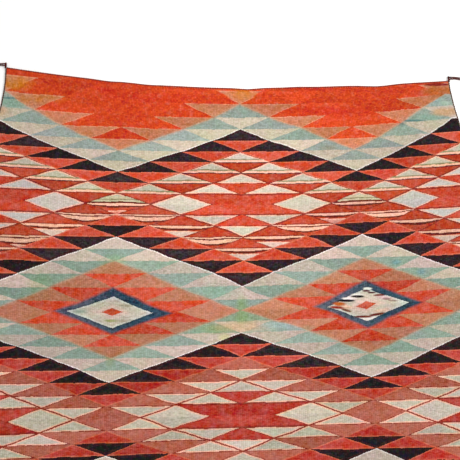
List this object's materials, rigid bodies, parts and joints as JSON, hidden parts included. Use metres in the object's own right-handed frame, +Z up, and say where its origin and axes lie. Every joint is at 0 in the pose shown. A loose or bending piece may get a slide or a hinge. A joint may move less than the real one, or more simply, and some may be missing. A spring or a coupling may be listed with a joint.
{
  "type": "navajo rug",
  "caption": "Flat tapestry-woven wool rug in serrate diamonds, with twined selvage cords round its edges and a short tied tail at each corner.",
  "frame": {"origin": "middle of the rug's underside, on the surface it lies on", "axes": "+X along the ends, across the warps; +Y along the warps to the end that the picture shows; +Z up, out of the face"},
  "size_m": [1.4648, 2.0106, 0.0052],
  "materials": {
    "tapestry": "weft-faced handspun wool tapestry, matt, in red, black, white, celadon and salmon",
    "end_cord": "dark brown-red plied wool cord",
    "side_cord": "dark brown plied wool cord",
    "tassel": "dark plied wool, loose at the tips"
  },
  "bodies": {
    "root": {"rug_body": "tapestry", "end_cord_far": "end_cord", "end_cord_near": "end_cord", "side_cord_left": "side_cord", "side_cord_right": "side_cord", "tassel_far_right": "tassel", "tassel_far_left": "tassel", "tassel_near_left": "tassel", "tassel_near_right": "tassel"}
  },
  "joints": []
}
